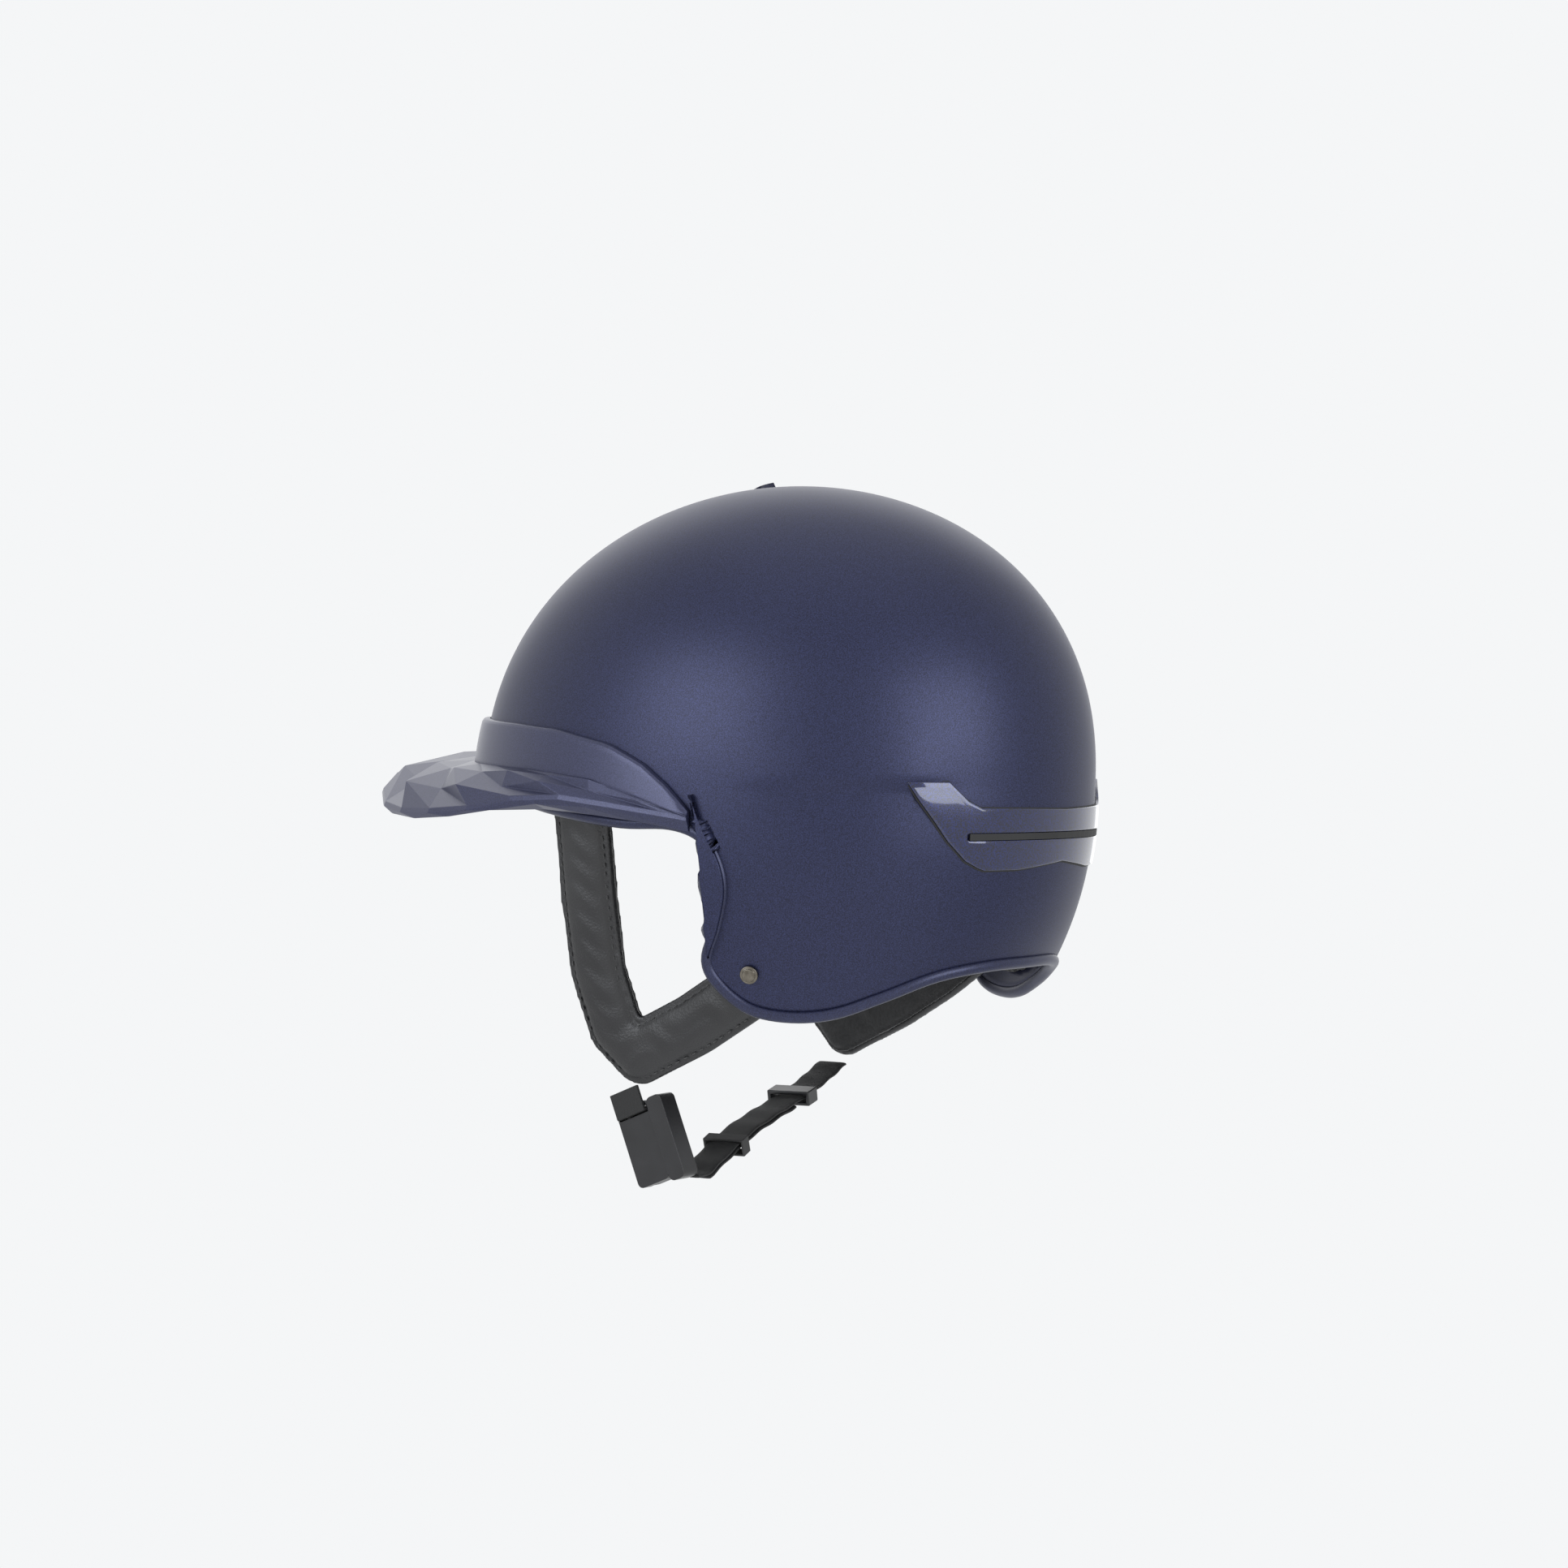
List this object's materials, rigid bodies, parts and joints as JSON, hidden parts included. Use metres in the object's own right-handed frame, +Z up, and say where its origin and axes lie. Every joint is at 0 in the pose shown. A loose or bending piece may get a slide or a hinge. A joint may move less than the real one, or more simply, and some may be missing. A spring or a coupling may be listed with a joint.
{
  "type": "equestrian riding helmet",
  "caption": "Riding helmet with domed shell, ear flaps, faceted peak, glossy slotted rear trim, padded leather chin harness and magnetic buckle.",
  "frame": {"origin": "middle of the head ring, on the middle plane at the shell's widest line", "axes": "+X to the wearer's left, -Y to the front, +Z up to the crown"},
  "size_m": [0.244, 0.3335, 0.2936],
  "materials": {
    "shell_paint": "matt metallic navy lacquer",
    "bead_paint": "satin navy",
    "peak_paint": "satin navy, faceted",
    "dark_metal": "blackened",
    "gloss_trim": "high gloss deep blue with fine metal flake",
    "grille_black": "matt black",
    "foam_black": "bead foam",
    "pad_fabric": "brushed knit",
    "lining_suede": "suede-like microfibre",
    "hook_fabric": "hook and loop",
    "rivet_metal": "gunmetal",
    "harness_leather": "black grained, stitched",
    "webbing": "woven polyester",
    "buckle_plastic": "satin black",
    "magnet_metal": "plated",
    "keeper_rubber": "matt"
  },
  "bodies": {
    "helmet": {"outer_shell": "shell_paint", "rim_bead": "bead_paint", "peak": "peak_paint", "rear_trim": "gloss_trim", "vent_grille": "grille_black", "foam_liner": "foam_black", "crown_pad": "pad_fabric", "brow_pad": "pad_fabric", "nape_pad": "pad_fabric", "left_flap_lining": "lining_suede", "right_flap_lining": "lining_suede", "hook_pads": "hook_fabric", "flap_rivets": "rivet_metal", "strap_anchors": "dark_metal"},
    "left_strap": {"left_harness": "harness_leather", "left_harness_lining": "lining_suede"},
    "right_strap": {"right_harness": "harness_leather", "right_harness_lining": "lining_suede"},
    "buckle": {"left_webbing": "webbing", "buckle_base": "buckle_plastic", "base_magnet": "magnet_metal"},
    "chin_strap": {"chin_webbing": "webbing", "webbing_tail": "webbing", "webbing_keeper": "keeper_rubber", "buckle_tab": "buckle_plastic", "tab_magnet": "magnet_metal"},
    "adjuster": {"webbing_slider": "buckle_plastic"}
  },
  "joints": [
    {"name": "left_strap_swing", "type": "hinge", "parent": "helmet", "child": "left_strap", "pos_m": [0.094, -0.035, -0.004], "axis": [-0.1791, 0.7685, -0.6143], "range_deg": [-3, 6]},
    {"name": "right_strap_swing", "type": "hinge", "parent": "helmet", "child": "right_strap", "pos_m": [-0.094, -0.035, -0.004], "axis": [0.1791, 0.7685, -0.6143], "range_deg": [-3, 6]},
    {"name": "buckle_swing", "type": "hinge", "parent": "left_strap", "child": "buckle", "pos_m": [0.077, -0.018, -0.124], "axis": [-0.1791, 0.7685, -0.6143], "range_deg": [-6.5, 3.3]},
    {"name": "buckle_release", "type": "slide", "parent": "buckle", "child": "chin_strap", "axis": [0, 0.9272, 0.3746], "range_m": [0, 0.012]},
    {"name": "adjuster_slide", "type": "slide", "parent": "chin_strap", "child": "adjuster", "axis": [-0.9701, -0.1455, 0.194], "range_m": [-0.004, 0.006]}
  ],
  "couplings": [
    {"joint": "right_strap_swing", "follows": "left_strap_swing", "ratio": 0.95},
    {"joint": "buckle_swing", "follows": "left_strap_swing", "ratio": -1.075}
  ]
}
